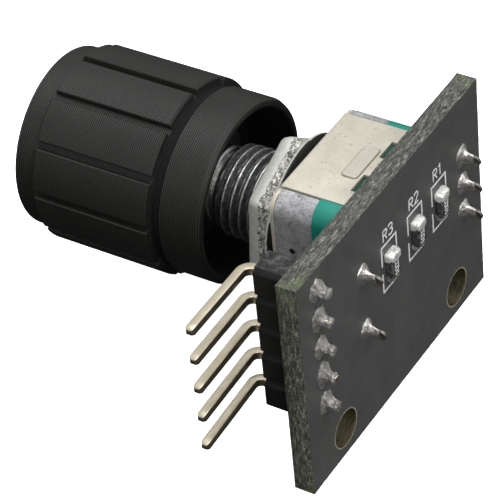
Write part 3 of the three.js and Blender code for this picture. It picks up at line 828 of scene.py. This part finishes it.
def lettering(text, x, z, height, width, spacing=0.85):
    parts = []
    for k, letter in enumerate(text):
        for stroke in GLYPHS[letter]:
            pts = [(x + (k * spacing + px) * height, z + pz * height) for px, pz in stroke]
            parts.append(ribbon(pts, width))
    return parts


OUTLINE_HALF = (1.04, 1.98)
OUTLINE_Z = 0.82
INK_WIDTH = 0.15
CHIP_X = [(node_box(f"resistor_{k + 1}")[0].x + node_box(f"resistor_{k + 1}")[1].x) / 2 for k in range(3)]


def silk():
    for k, x in enumerate(CHIP_X):
        hx, hz = OUTLINE_HALF
        left, right, above, under = x - hx, x + hx, OUTLINE_Z + hz, OUTLINE_Z - hz
        top = [(left, OUTLINE_Z + 0.35), (left, above), (right, above), (right, OUTLINE_Z + 0.25)]
        low = [(left, OUTLINE_Z - 0.35), (left, under), (right, under), (right, OUTLINE_Z - 0.45)]
        parts = [ribbon(top, INK_WIDTH), ribbon(low, INK_WIDTH)]
        parts += lettering(f"R{k + 1}", x - 0.70, OUTLINE_Z + hz + 0.40, 0.90, 0.125)
        verts, faces = merged(parts)
        piece(f"silk_print_{k + 1}", verts, faces, ["ink"], "base", sharp=30)


silk()


# ---- header ----

pin_boxes = [node_box(f"header_pin_{i + 1}") for i in range(5)]
PIN_HALF = 0.32
PIN_X = pin_boxes[0][1].x - PIN_HALF
PIN_Z = [(lo.z + hi.z) / 2 for lo, hi in pin_boxes]
PIN_TIP_X = pin_boxes[0][0].x
PIN_BACK = pin_boxes[0][0].y
PIN_Y = pin_boxes[0][1].y - PIN_HALF


def header_pin(k):
    """Square pin swept along its bent centre line, with a short taper at each end."""
    z = PIN_Z[k]
    lean = -0.04 - 0.07 * k
    bend = 0.72
    inner_end = ((PIN_BACK + 0.05, 0.55), (PIN_BACK + 0.16, 0.72), (-0.1, 0.72), (0.1, 1.0))
    path = [(PIN_X, y, size) for y, size in inner_end]
    path += [(PIN_X, 0.1 + (PIN_Y - bend - 0.1) * t / 8, 1.0) for t in range(1, 8)]
    for i in range(11):
        a = math.radians(90 * i / 10)
        path.append((PIN_X - bend + bend * math.cos(a), PIN_Y - bend + bend * math.sin(a), 1.0))
    start = PIN_X - bend
    far = PIN_TIP_X + 0.26
    path += [(start + (far - start) * t / 14, PIN_Y, 1.0) for t in range(1, 15)]
    path += [(PIN_TIP_X + 0.03, PIN_Y, 0.66), (PIN_TIP_X + 0.01, PIN_Y, 0.56)]
    section = sum(rounded(PIN_HALF, PIN_HALF, 0.05, 3), [])
    rings = []
    for i, (x, y, size) in enumerate(path):
        ax, ay = path[max(i - 1, 0)][:2]
        bx, by = path[min(i + 1, len(path) - 1)][:2]
        along = Vector((bx - ax, by - ay, 0)).normalized()
        side = Vector((-along.y, along.x, 0))
        droop = lean * max(0.0, start - x) / (start - PIN_TIP_X)
        ring = []
        for u, w in section:
            place = Vector((x, y + 0.25 * droop, z + droop)) + side * u * size + Vector((0, 0, w * size))
            place += side * 0.012 * wobble(place, 2.0, 8.0 + k)
            ring.append(tuple(place))
        rings.append(ring)
    verts, faces = solid(rings)
    piece(f"pin_{k + 1}", verts, faces, ["pin"], "base", [f"header_pin_{k + 1}"], sharp=42)


for k in range(5):
    header_pin(k)


# ---- solder joints ----


def eased(rows, count):
    """Rows of numbers resampled smoothly to count rows."""
    out = []
    for j in range(count):
        t = j * (len(rows) - 1) / (count - 1)
        i = min(int(t), len(rows) - 2)
        t -= i
        before, after = rows[max(i - 1, 0)], rows[min(i + 2, len(rows) - 1)]
        out.append([
            0.5 * (2 * b + (c - a) * t + (2 * a - 5 * b + 4 * c - d) * t * t
                   + (3 * b - a - 3 * c + d) * t ** 3)
            for a, b, c, d in zip(before, rows[i], rows[i + 1], after)
        ])
    return out


def solder_joint(name, x, z, rows, seed, rough, replaces, mat):
    """Uneven solder from the board's back outwards. A row is [out, half x, half z, shift z]."""
    around = 40
    rings = []
    for out, half_x, half_z, shift in eased(rows, 26):
        ring = []
        for a in even(around):
            spot = (math.cos(a) * 1.5, out * 2.0, math.sin(a) * 1.5)
            uneven = 1 + rough * wobble(spot, 1.1, seed) + 0.6 * rough * wobble(spot, 3.3, seed + 9)
            dx, dz = half_x * math.cos(a) * uneven, half_z * math.sin(a) * uneven
            ring.append((x + dx, -max(out, 0.0), z + shift + dz))
        rings.append(ring)
    verts, faces = solid(rings)
    piece(name, verts, faces, [mat], "base", replaces, sharp=60)


# Rows of a joint: [out, half x, half z, shift z].
PIN_JOINT = [
    (0.00, 0.78, 1.02, -0.06), (0.10, 0.64, 0.96, 0.06), (0.28, 0.50, 0.68, 0.12), (0.50, 0.41, 0.44, 0.00),
    (0.74, 0.37, 0.37, -0.05), (0.94, 0.41, 0.41, -0.06), (1.09, 0.35, 0.35, -0.06),
    (1.16, 0.08, 0.08, -0.06),
]
PIN_JOINT_REACH = [1.0, 0.96, 1.0, 0.93, 0.97]
for k in range(5):
    rows = [(out * PIN_JOINT_REACH[k], hx, hz, shift) for out, hx, hz, shift in PIN_JOINT]
    node = f"header_solder_{k + 1}"
    seed, rough = 20 + 7.3 * k, 0.26
    solder_joint(f"header_joint_{k + 1}", PIN_X, PIN_Z[k], rows, seed, rough, [node], "solder_dull")

LEAD_JOINT = [
    (0.00, 0.80, 0.98, -0.04), (0.08, 0.66, 0.92, 0.05), (0.22, 0.48, 0.74, 0.08), (0.42, 0.30, 0.54, 0.02),
    (0.70, 0.20, 0.44, -0.02), (0.95, 0.165, 0.405, -0.04), (1.02, 0.10, 0.30, -0.05),
]
# The joint's node and piece, and the lead's node and piece.
LEADS = [
    (f"{kind}_solder_{k + 1}", f"{joint}_{k + 1}", f"{terminal}_{letter}", f"{blade}_{k + 1}")
    for kind, joint, terminal, letters, blade in (
        ("encoder", "lead_joint", "terminal", "abc", "lead"),
        ("switch", "switch_joint", "switch_terminal", "de", "switch_lead"),
    )
    for k, letter in enumerate(letters)
]


# ---- leads ----

LEAD_CUT = 0.9
LEAD_TIP = -1.58


def lead(name, node, x, z):
    """The lead's inner run as in the CAD, joined to a cupped blade with a round tip."""
    bm = bmesh.new()
    bm.from_mesh(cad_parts[node].data)
    everything = bm.verts[:] + bm.edges[:] + bm.faces[:]
    cut = {"plane_co": (0, LEAD_CUT * MM, 0), "plane_no": (0, 1, 0)}
    bmesh.ops.bisect_plane(bm, geom=everything, clear_inner=True, **cut)
    bmesh.ops.holes_fill(bm, edges=[e for e in bm.edges if e.is_boundary], sides=0)
    inner = contents(bm, MM)
    rings = []
    for j in range(25):
        y = LEAD_CUT + 0.05 + (LEAD_TIP - LEAD_CUT - 0.05) * j / 24
        out = max(0.0, -y)
        near_tip = max(0.0, (LEAD_TIP + 0.36 - y) / 0.36)
        width = (0.39 - 0.05 * out / 1.6) * math.sqrt(max(0.02, 1 - near_tip ** 2))
        thick = 0.12 if near_tip < 0.6 else 0.12 - 0.06 * (near_tip - 0.6)
        sag = -0.13 * (out / 1.6) ** 2
        across = [-1 + 0.25 * i for i in range(9)]
        outer = [(x - thick * (1 - 0.75 * (1 - u * u)), y, z + sag + u * width) for u in across]
        back = [(x + thick, y, z + sag + u * width) for u in reversed(across)]
        rings.append(outer + back)
    blade = solid(rings)
    verts, faces = merged([inner, blade])
    piece(name, verts, faces, ["lead"], "base", [node], sharp=40)


for k, (joint_node, joint_name, lead_node, lead_name) in enumerate(LEADS):
    lo, hi = node_box(joint_node)
    x, z = (lo.x + hi.x) / 2, (lo.z + hi.z) / 2
    solder_joint(joint_name, x, z, LEAD_JOINT, 61 + 5.1 * k, 0.10, [joint_node], "solder")
    lead(lead_name, lead_node, x, z)


# ---- resistors ----


def soft_box(lo, hi, radius):
    """Box with rounded edges, as one closed mesh."""
    bm = bmesh.new()
    bmesh.ops.create_cube(bm, size=1.0)
    for v in bm.verts:
        v.co = Vector([lo[i] + (hi[i] - lo[i]) * (v.co[i] + 0.5) for i in range(3)])
    bmesh.ops.bevel(bm, geom=bm.edges[:], offset=radius, segments=3, profile=0.5, affect="EDGES")
    return contents(bm)


def resistor(k):
    node = f"resistor_{k + 1}"
    lo, hi = node_box(node)
    verts, faces = soft_box((lo.x, lo.y, lo.z + 0.12), (hi.x, hi.y, hi.z - 0.12), 0.06)
    piece(f"chip_{k + 1}", verts, faces, ["chip"], "base", [node])
    # Value print on the glaze, read along the chip.
    x, z, y = (lo.x + hi.x) / 2, (lo.z + hi.z) / 2, lo.y
    parts = []
    for v, f in lettering("1002", -0.66, -0.27, 0.46, 0.075, 0.74):
        turned = [(x - vz, y + (vy - INK_IN) * 0.8, z + vx - 0.12) for vx, vy, vz in v]
        parts.append((turned, f))
    verts, faces = merged(parts)
    piece(f"chip_value_{k + 1}", verts, faces, ["ink"], "base", sharp=30)


def chip_joint(k, upper):
    """Rounded heap of solder over one end of a chip."""
    lo, hi = node_box(f"resistor_{k + 1}")
    index = 2 * k + (1 if upper else 2)
    end = hi.z - 0.06 if upper else lo.z
    centre = Vector(((lo.x + hi.x) / 2, -0.02, end))
    size = Vector((0.70, 0.72, 0.42)) if upper else Vector((0.66, 0.52, 0.34))
    top = -0.66 if upper else -0.48
    around, rows = 36, 16
    rings = []
    for j in range(rows + 1):
        t = math.radians(90 * j / rows)
        ring = []
        for a in even(around):
            ca, sa = math.cos(a), math.sin(a)
            # Squarish footprint and shoulders.
            q = (abs(ca) ** 4 + abs(sa) ** 4) ** -0.25
            side, lift = math.cos(t) ** 0.6, math.sin(t) ** 0.8
            d = Vector((ca * q * side * size.x, -lift * size.y, sa * q * side * size.z))
            p = centre + d * (1 + 0.09 * wobble(d + centre, 2.4, 31 + 3 * index))
            p.y = max(p.y, top)
            ring.append(tuple(p))
        rings.append(ring)
    verts, faces = solid(rings)
    mat = "blob" if upper else "solder_dull"
    node = f"resistor_solder_{index}"
    piece(f"chip_joint_{index}", verts, faces, [mat], "base", [node], sharp=60)


for k in range(3):
    resistor(k)
    chip_joint(k, True)
    chip_joint(k, False)


# ---- housing and threaded bushing ----

HALF_X, HALF_Z, CORNER = 6.15, 5.9, 1.5
SEAT_X, SEAT_Z = 4.72, 5.62
SEAM_Y, FRONT_Y, BOSS_Y = 4.45, 7.5, 8.35
BOSS_R, CAVITY_R, BORE = 4.2, 5.2, 2.7
THREAD_R, THREAD_DEPTH, PITCH = 3.5, 0.40, 0.75
THREAD_END = 14.6


def body_outline():
    """Corner-rounded rectangle with a shallow seat above and below, as [x, z] points."""
    pts = []
    signs = (1, 1), (-1, 1), (-1, -1), (1, -1)
    for (sx, sz), run in zip(signs, rounded(HALF_X, HALF_Z, CORNER, 8)):
        step = [(sx * SEAT_X, sz * HALF_Z), (sx * SEAT_X, sz * SEAT_Z)]
        pts += run + step if sx * sz > 0 else step[::-1] + run
    return pts


def shrunk(outline, by):
    """Outline moved inwards, keeping its points."""
    return [tuple(v * (1 - by / abs(v)) if abs(v) > 0.8 else v for v in point) for point in outline]


def cast_body():
    outline = body_outline()
    angles = [math.atan2(z, x) for x, z in outline]
    soft = 0.16
    rings = []

    def flat(points, y):
        rings.append([(x, y, z) for x, z in points])

    flat([(CAVITY_R * math.cos(a), CAVITY_R * math.sin(a)) for a in angles], SEAM_Y)
    flat(outline, SEAM_Y)
    for i in range(1, 5):
        flat(outline, SEAM_Y + (FRONT_Y - soft - SEAM_Y) * i / 4)
    for i in range(1, 4):
        a = math.radians(30 * i)
        flat(shrunk(outline, soft * (1 - math.cos(a))), FRONT_Y - soft + soft * math.sin(a))
    inside = (
        (BOSS_R, FRONT_Y), (BOSS_R, BOSS_Y - 0.06), (BOSS_R - 0.06, BOSS_Y), (3.06, BOSS_Y),
        (3.06, 7.2), (3.9, 7.0), (3.9, 6.2), (CAVITY_R, 6.2),
    )
    for r, y in inside:
        flat([(r * math.cos(a), r * math.sin(a)) for a in angles], y)
    verts, faces = loft(rings, close=True)
    return verts, faces


def thread_height(y, a):
    """0 at the root and 1 at the crest of a right-handed thread with rounded ridges."""
    turn = ((y - PITCH * a / (2 * math.pi)) / PITCH) % 1.0
    return (0.5 + 0.5 * math.cos(2 * math.pi * turn)) ** 0.75


def bushing():
    around = 120
    angles = even(around)
    top = THREAD_END
    rings = [circle(3.04, 7.1, angles), circle(3.04, BOSS_Y + 0.02, angles)]
    rows = 150
    start = BOSS_Y + 0.10
    for j in range(rows + 1):
        y = start + (top - 0.02 - start) * j / rows
        taper = max(0.0, (y - (top - 0.38)) / 0.38)
        ring = []
        for a in angles:
            r = THREAD_R - THREAD_DEPTH * (1 - thread_height(y, a))
            r = min(r, THREAD_R - 0.30 * taper)
            r += 0.012 * wobble(polar(r, y, a), 2.4, 6.0)
            ring.append(polar(r, y, a))
        rings.append(ring)
    rings.append(circle(THREAD_R - 0.34, top, angles))
    rings.append(circle(BORE + 0.08, top, angles))
    rings.append(circle(BORE, top - 0.08, angles))
    rings.append(circle(BORE, 7.1, angles))
    verts, faces = loft(rings, close=True)
    # Crest faces take the painted highlight copy, the rest the painted shade copy.
    mats = []
    for f in faces:
        radius = sum(math.hypot(verts[i][0], verts[i][2]) for i in f) / 4
        mats.append(0 if radius > THREAD_R - 0.035 else 1)
    return verts, faces, mats


verts, faces = cast_body()
piece("cast_housing", verts, faces, ["zinc"], "base", ["encoder_housing"], sharp=32)
verts, faces, mats = bushing()
piece("threaded_bushing", verts, faces, ["crest", "flank"], "base", face_mats=mats, sharp=50)


# ---- washer and nut ----

NUT_CORNER = 22.5
WASHER_THICK, RING_BORE = 0.28, 3.62
washer_hi = node_box("washer")[1]
nut_lo, nut_hi = node_box("hex_nut")


def washer():
    angles = even(144)
    y1, r = washer_hi.y, washer_hi.x
    y0 = y1 - WASHER_THICK
    section = (
        (RING_BORE, y0 + 0.05), (RING_BORE + 0.05, y0), (r - 0.08, y0), (r - 0.02, y0 + 0.04), (r, y0 + 0.10),
        (r, y1 - 0.10), (r - 0.03, y1 - 0.04), (r - 0.10, y1), (RING_BORE + 0.05, y1),
        (RING_BORE, y1 - 0.05),
    )
    rings = []
    for rr, y in section:
        # Slightly bent, so it stands off its seat on two sides.
        ring = []
        for a in angles:
            dish = 0.05 - 0.05 * math.cos(2 * (a - 0.6))
            ring.append(polar(rr - 0.015 + 0.015 * wobble(polar(rr, y, a), 1.6, 2.0), y - dish, a))
        rings.append(ring)
    verts, faces = loft(rings, close=True)
    # The face that lies towards the bracket is painted black as shade.
    painted_rear_shade = [1 if max(math.hypot(verts[i][0], verts[i][2]) for i in f) < r - 0.01
            and sum(verts[i][1] for i in f) / 4 < y0 + 0.02 else 0 for f in faces]
    piece("flat_washer", verts, faces, ["nut", "matt"], "base", ["washer"], painted_rear_shade, 40)


def nut():
    steps = 360
    angles = [math.radians(NUT_CORNER) + a for a in even(steps)]
    y0, y1 = nut_lo.y, nut_hi.y
    chamfer = 10.05
    rings, torn_rows = [], []

    def ring(half_flat, y, torn=0.0, torn_row=False):
        """One hexagon with softened corners. y may be a function of the angle."""
        pts = []
        for i, a in enumerate(angles):
            lean = math.radians((i * 360 / steps) % 60 - 30)
            r = min(half_flat / math.cos(lean), half_flat / math.cos(math.radians(30)) - 0.09)
            place = polar(r, y0, a)
            yy = y(place) if callable(y) else y
            if torn:
                place = polar(r, yy, a)
                r -= torn * (0.5 + 0.5 * wobble(place, 5.5, 3.0)) + torn * 0.6 * abs(wobble(place, 11.0, 5.0))
            pts.append(polar(r, yy, a))
        rings.append(pts)
        torn_rows.append(torn_row)

    def round_ring(r, y):
        rings.append([polar(r, y, a) for a in angles])
        torn_rows.append(False)

    def tear(t):
        """The height of a torn row, t of the way up the torn band, as a function of the place."""
        def height(place):
            return y0 + 0.06 + (0.78 + 0.16 * wobble(place, 1.3, 7.0) + 0.08 * wobble(place, 4.0, 9.0)) * t
        return height

    round_ring(RING_BORE, y0 + 0.1)
    round_ring(RING_BORE + 0.10, y0)
    ring(4.86, y0)
    ring(4.96, y0 + 0.05, 0.02)
    for j in range(1, 11):
        ring(4.99, tear(j / 10), 0.09 if j < 10 else 0.03, True)
    ring(5.0, tear(1.06))
    ring(5.0, chamfer)
    ring(4.90, chamfer + 0.28)
    ring(4.77, y1 - 0.08)
    ring(4.68, y1)
    round_ring(3.85, y1)
    round_ring(RING_BORE, y1 - 0.18)
    verts, faces = loft(rings, close=True)
    mats = []
    for row in range(len(rings)):
        mats += [1 if torn_rows[row] else 0] * steps
    piece("hexagon_nut", verts, faces, ["nut", "torn"], "base", ["hex_nut"], mats, 40)


washer()
nut()


# ---- knob ----

knob_lo, knob_hi = node_box("knob_body")
PANEL_R = 7.53
GROOVES = 12
GROOVE_PHASE = 26.2
GROOVE_HALF = 0.31
GROOVE_FLOOR = 7.0
RIM_R = 6.93
SKIRT_R = 7.08
NECK_R = 6.85
PANEL_BACK, PANEL_FRONT = 17.65, 27.45
SKIRT_FRONT = 16.88
KNOB_CAVITY_R, INSERT_R, INSERT_FRONT = 6.42, 4.6, 28.0
RIM_ROUND = 0.16


def knob_angles():
    """Angles round the knob, each with how deep the groove is there, from 0 to 1, and its chamfer."""
    out = []
    for k in range(GROOVES):
        middle = GROOVE_PHASE + 360 * k / GROOVES
        to_deg = math.degrees(1 / PANEL_R)
        for offset, depth in (
            (-GROOVE_HALF - 0.07, 0.0), (-GROOVE_HALF, 0.14), (-GROOVE_HALF + 0.03, 1.0), (0, 1.0),
            (GROOVE_HALF - 0.03, 1.0), (GROOVE_HALF, 0.14), (GROOVE_HALF + 0.07, 0.0),
        ):
            out.append((math.radians(middle + offset * to_deg), depth))
        edge = (GROOVE_HALF + 0.07) * to_deg
        span = 360 / GROOVES - 2 * edge
        out += [(math.radians(middle + edge + span * i / 10), 0.0) for i in range(1, 10)]
    return out


def knob():
    angles = knob_angles()
    rings = []

    def plain(r, y, uneven=0.0):
        rings.append([polar(r + uneven * wobble(polar(r, y, a), 1.3, 4.0), y, a) for a, _ in angles])

    def panel(r, y):
        floor = min(r, GROOVE_FLOOR)
        rings.append([polar(r - (r - floor) * depth, y, a) for a, depth in angles])

    front, back = knob_hi.y, knob_lo.y
    for r, y in (
        *((r, front - 0.10) for r in (0.05, 1.6, 3.2, 4.8, 6.2)),
        (6.36, front - 0.04), (6.45, front), (RIM_R - RIM_ROUND, front),
    ):
        plain(r, y)
    for i in range(1, 5):
        a = math.radians(90 * i / 4)
        plain(RIM_R - RIM_ROUND + RIM_ROUND * math.sin(a), front - RIM_ROUND + RIM_ROUND * math.cos(a))
    plain(RIM_R, front - 0.9)
    plain(RIM_R, PANEL_FRONT + 0.24)
    panel(RIM_R + 0.06, PANEL_FRONT + 0.20)
    panel(PANEL_R - 0.06, PANEL_FRONT + 0.04)
    panel(PANEL_R, PANEL_FRONT - 0.04)
    for i in range(1, 10):
        panel(PANEL_R, PANEL_FRONT + (PANEL_BACK - PANEL_FRONT) * i / 10)
    panel(PANEL_R, PANEL_BACK + 0.12)
    panel(PANEL_R - 0.10, PANEL_BACK)
    skirt = [SKIRT_FRONT - 0.10 + (back + 0.50 - SKIRT_FRONT) * i / 4 for i in range(5)]
    for r, y, *uneven in (
        (NECK_R + 0.06, PANEL_BACK - 0.02), (NECK_R, PANEL_BACK - 0.10), (NECK_R, SKIRT_FRONT),
        (SKIRT_R - 0.07, SKIRT_FRONT - 0.03), *((SKIRT_R, y) for y in skirt), (SKIRT_R - 0.02, back + 0.36),
        (6.92, back + 0.06, 0.012), (6.84, back, 0.015), (6.52, back, 0.02),
        (KNOB_CAVITY_R, back + 0.10, 0.02), (KNOB_CAVITY_R, back + 2.0), (KNOB_CAVITY_R, back + 4.2),
        (KNOB_CAVITY_R - 0.20, back + 4.4), (INSERT_R + 0.05, back + 4.4), (INSERT_R, back + 4.5),
        (INSERT_R, INSERT_FRONT), (0.05, INSERT_FRONT),
    ):
        plain(r, y, *uneven)
    verts, faces = solid(rings)
    piece("knob", verts, faces, ["knob"], "knob", ["knob_body"], sharp=24)


knob()


# ---- softened copies and CAD nodes that stay ----


def soft_copy(name, node, mat, width):
    """The node's solid as one piece with its facets merged and its edges rounded by width."""
    bm = bmesh.new()
    bm.from_mesh(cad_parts[node].data)
    bmesh.ops.remove_doubles(bm, verts=bm.verts, dist=1e-7)
    bmesh.ops.dissolve_limit(bm, angle_limit=math.radians(0.5), verts=bm.verts, edges=bm.edges)
    crisp = [e for e in bm.edges if len(e.link_faces) == 2 and e.calc_face_angle() > math.radians(40)]
    edges = {"affect": "EDGES", "clamp_overlap": True}
    bmesh.ops.bevel(bm, geom=crisp, offset=width * MM, segments=2, profile=0.5, **edges)
    verts, faces = contents(bm, MM)
    return piece(name, verts, faces, [mat], "base", [node], sharp=35)


PAD_HALF_X, PAD_HALF_Y, PAD_CORNER, PAD_Y = 1.84, 0.65, 0.30, 3.85


def embossed_pad():
    """Low raised pad with rounded corners on the bracket's top plate."""
    rings = []
    for grow, z in ((0.0, 5.98), (0.0, 6.03), (-0.04, 6.09), (-0.10, 6.112), (-0.2, 6.115)):
        outline = rounded(PAD_HALF_X + grow, PAD_HALF_Y + grow, PAD_CORNER + grow, 6)
        rings.append([(x, PAD_Y + y, z) for x, y in sum(outline, [])])
    verts, faces = solid(rings)
    piece("bracket_pad", verts, faces, ["tin"], "base", sharp=50)


soft_copy("header_block", "header_housing", "moulded", 0.06)
soft_copy("moulded_base", "encoder_base", "green", 0.07)
soft_copy("spring_bracket", "clamp_bracket", "tin", 0.08)
embossed_pad()

dome = soft_copy("snap_dome", "switch_dome", "spring", 0.01)
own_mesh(dome)

KEPT = {
    "shaft": "steel",
    "retaining_ring": "spring",
    "rotor_wheel": "nylon",
    "code_ring": "brass",
    "detent_spring": "spring",
    "switch_plunger": "matt",
    "knob_insert": "matt",
}
for name, material in KEPT.items():
    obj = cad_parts[name]
    obj.data.materials.clear()
    obj.data.materials.append(M[material])


# ---- stage ----

add_camera()
add_world()
add_area("key_light", (0.02, -0.04, 0.36), (0, 0.01, 0), (0.30, 0.30), 1.1)
add_area("back_light", (-0.16, -0.28, 0.18), (0, 0.005, 0), (0.26, 0.26), 0.6)
bpy.context.scene.view_settings.view_transform = "Standard"

bpy.ops.mesh.primitive_plane_add(size=3.0, location=(0, 0, cad_box[0].z))
floor = bpy.context.object
floor.name = "studio_floor"
floor.data.materials.append(studio_floor())
floor.visible_glossy = False
floor.visible_diffuse = False
